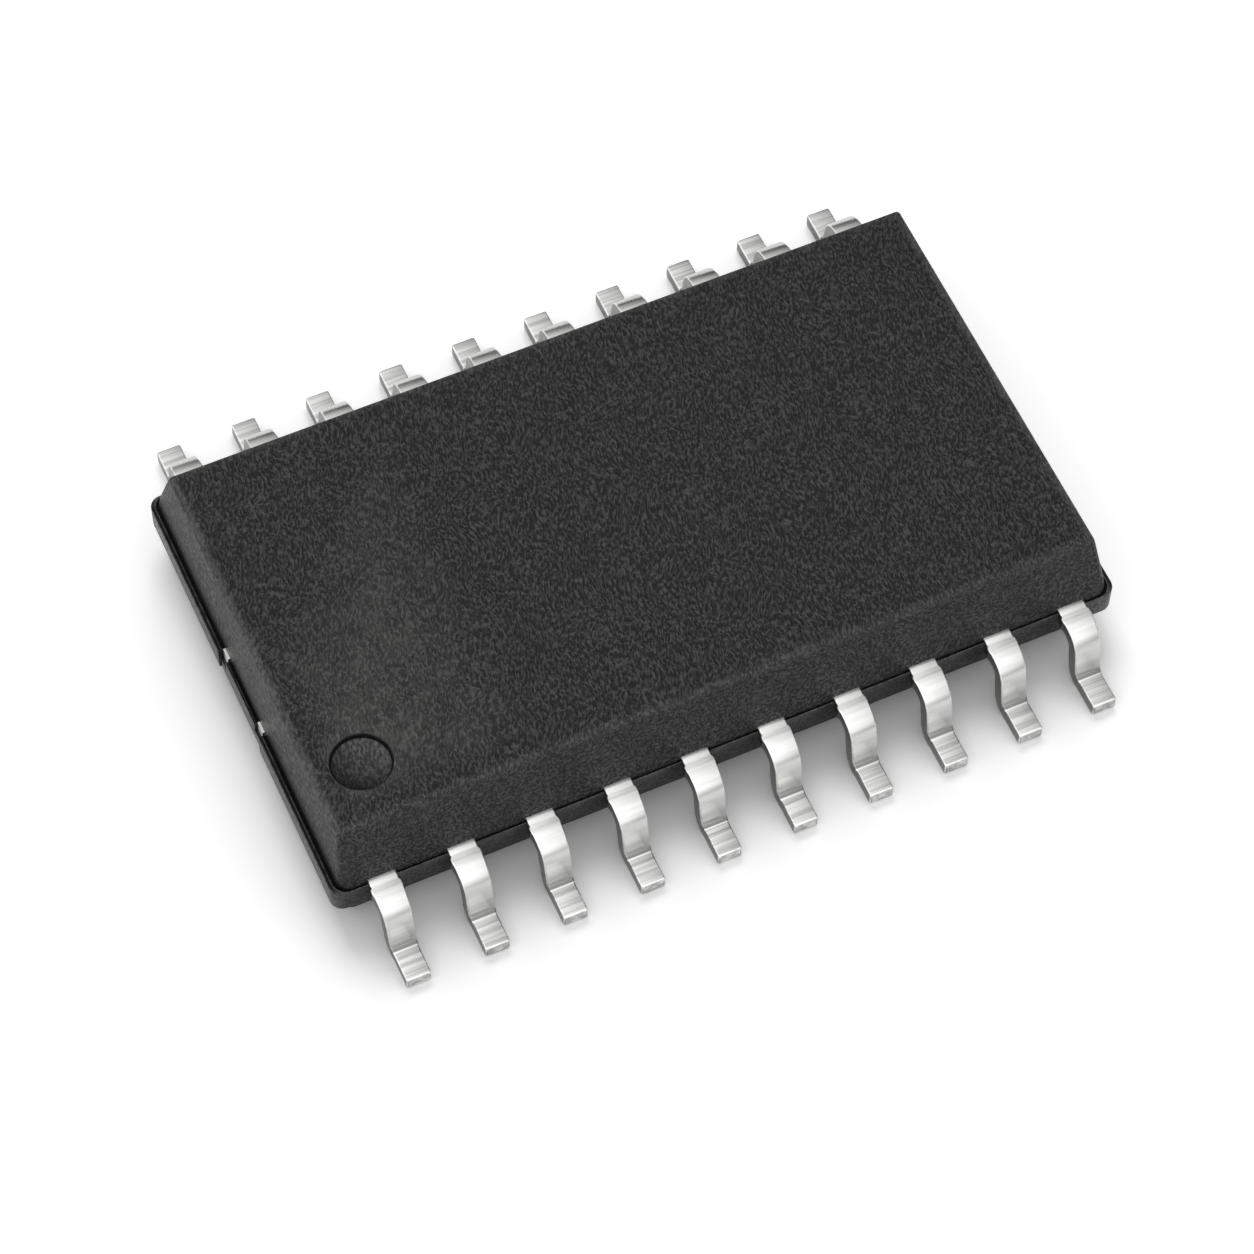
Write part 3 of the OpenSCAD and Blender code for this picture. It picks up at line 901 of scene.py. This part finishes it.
def studio_floor(half_size, bounce, shown):
    """A white floor: bounce is its colour for the light it bounces back, shown its colour to the camera."""
    mesh = bpy.data.meshes.new("floor")
    corners = [(x * half_size, y * half_size, 0) for x, y in ((-1, -1), (1, -1), (1, 1), (-1, 1))]
    mesh.from_pydata(corners, [], [(0, 1, 2, 3)])
    floor = bpy.data.objects.new("floor", mesh)
    bpy.context.scene.collection.objects.link(floor)
    material = bpy.data.materials.new("white_floor")
    material.use_nodes = True
    tree = material.node_tree
    tree.nodes.clear()
    in_gloss = remapped(tree, seen_directly(tree), 0, 1, bounce, 1.0)
    from_camera = tree.nodes.new("ShaderNodeLightPath").outputs["Is Camera Ray"]
    level = calculate(tree, "MAXIMUM", in_gloss, calculate(tree, "MULTIPLY", from_camera, shown))
    colour = put(tree, "ShaderNodeCombineColor", Red=level, Green=level, Blue=level)
    paint = put(tree, "ShaderNodeBsdfDiffuse", Color=colour.outputs[0])
    output = tree.nodes.new("ShaderNodeOutputMaterial")
    tree.links.new(paint.outputs[0], output.inputs["Surface"])
    mesh.materials.append(material)


def studio_world(ambient):
    """An even surround for the light. What is seen directly is a backdrop, brightest high up, front left."""
    world = bpy.data.worlds.new("studio")
    world.use_nodes = True
    tree = world.node_tree
    tree.nodes.clear()
    direction = put(tree, "ShaderNodeTexCoord").outputs["Generated"]
    towards_bright = tree.nodes.new("ShaderNodeVectorMath")
    towards_bright.operation = "DOT_PRODUCT"
    tree.links.new(direction, towards_bright.inputs[0])
    towards_bright.inputs[1].default_value = BRIGHT_SIDE
    height = put(tree, "ShaderNodeSeparateXYZ", Vector=direction).outputs["Z"]
    sweep = remapped(tree, towards_bright.outputs["Value"], -0.5, 0.7, BACKDROP_DIM, BACKDROP_BRIGHT)
    foot = remapped(tree, height, 0.0, 0.45, BACKDROP_FOOT, 1.0, smooth=True)
    surround = put(tree, "ShaderNodeBackground", Color=(1, 1, 1, 1), Strength=ambient)
    backdrop = calculate(tree, "MULTIPLY", sweep, foot)
    shown = put(tree, "ShaderNodeBackground", Color=(1, 1, 1, 1), Strength=backdrop)
    mix = tree.nodes.new("ShaderNodeMixShader")
    tree.links.new(seen_directly(tree), mix.inputs[0])
    tree.links.new(surround.outputs[0], mix.inputs[1])
    tree.links.new(shown.outputs[0], mix.inputs[2])
    output = tree.nodes.new("ShaderNodeOutputWorld")
    tree.links.new(mix.outputs[0], output.inputs["Surface"])
    bpy.context.scene.world = world


def softbox(name, towards, distance, size, share):
    """A square soft light, aimed at the origin. share is how bright it makes white that faces it."""
    lamp = bpy.data.lights.new(name, "AREA")
    lamp.shape = "SQUARE"
    lamp.size = size
    lamp.energy = share * math.pi**2 * distance**2
    light = bpy.data.objects.new(name, lamp)
    direction = Vector(towards).normalized()
    light.location = direction * distance
    light.rotation_euler = direction.to_track_quat("Z", "Y").to_euler()
    light.visible_glossy = False
    bpy.context.scene.collection.objects.link(light)
    return light


CAMERA_AZIMUTH = math.radians(25.37)
CAMERA_ELEVATION = math.radians(59.24)
CAMERA_ROLL = math.radians(1.164)
CAMERA_DISTANCE = 67.15
CAMERA_TARGET = Vector((-0.366, -0.739, 0))
CAMERA_LENS = 123.9


def studio_camera():
    """A camera that looks down on the lead 1 corner from the front left."""
    around, up = CAMERA_AZIMUTH, CAMERA_ELEVATION
    forward = Vector((math.sin(around) * math.cos(up), math.cos(around) * math.cos(up), -math.sin(up)))
    level = Vector((math.cos(around), -math.sin(around), 0))
    upright = level.cross(forward)
    right = level * math.cos(CAMERA_ROLL) + upright * math.sin(CAMERA_ROLL)
    top = right.cross(forward)
    lens = bpy.data.cameras.new("camera")
    lens.lens = CAMERA_LENS
    lens.sensor_width = 36
    lens.clip_start = 0.001
    lens.clip_end = 10
    camera = bpy.data.objects.new("camera", lens)
    turned = Matrix((right, top, -forward)).transposed().to_4x4()
    camera.matrix_world = Matrix.Translation((CAMERA_TARGET - forward * CAMERA_DISTANCE) * MM) @ turned
    bpy.context.scene.collection.objects.link(camera)
    bpy.context.scene.camera = camera


studio_floor(half_size=3.0, bounce=0.85, shown=1.3)
studio_world(ambient=0.6)
softbox("key_softbox", (0.15, 0.75, 1.0), distance=0.6, size=0.35, share=0.4)
studio_camera()
bpy.context.scene.view_settings.view_transform = "Standard"
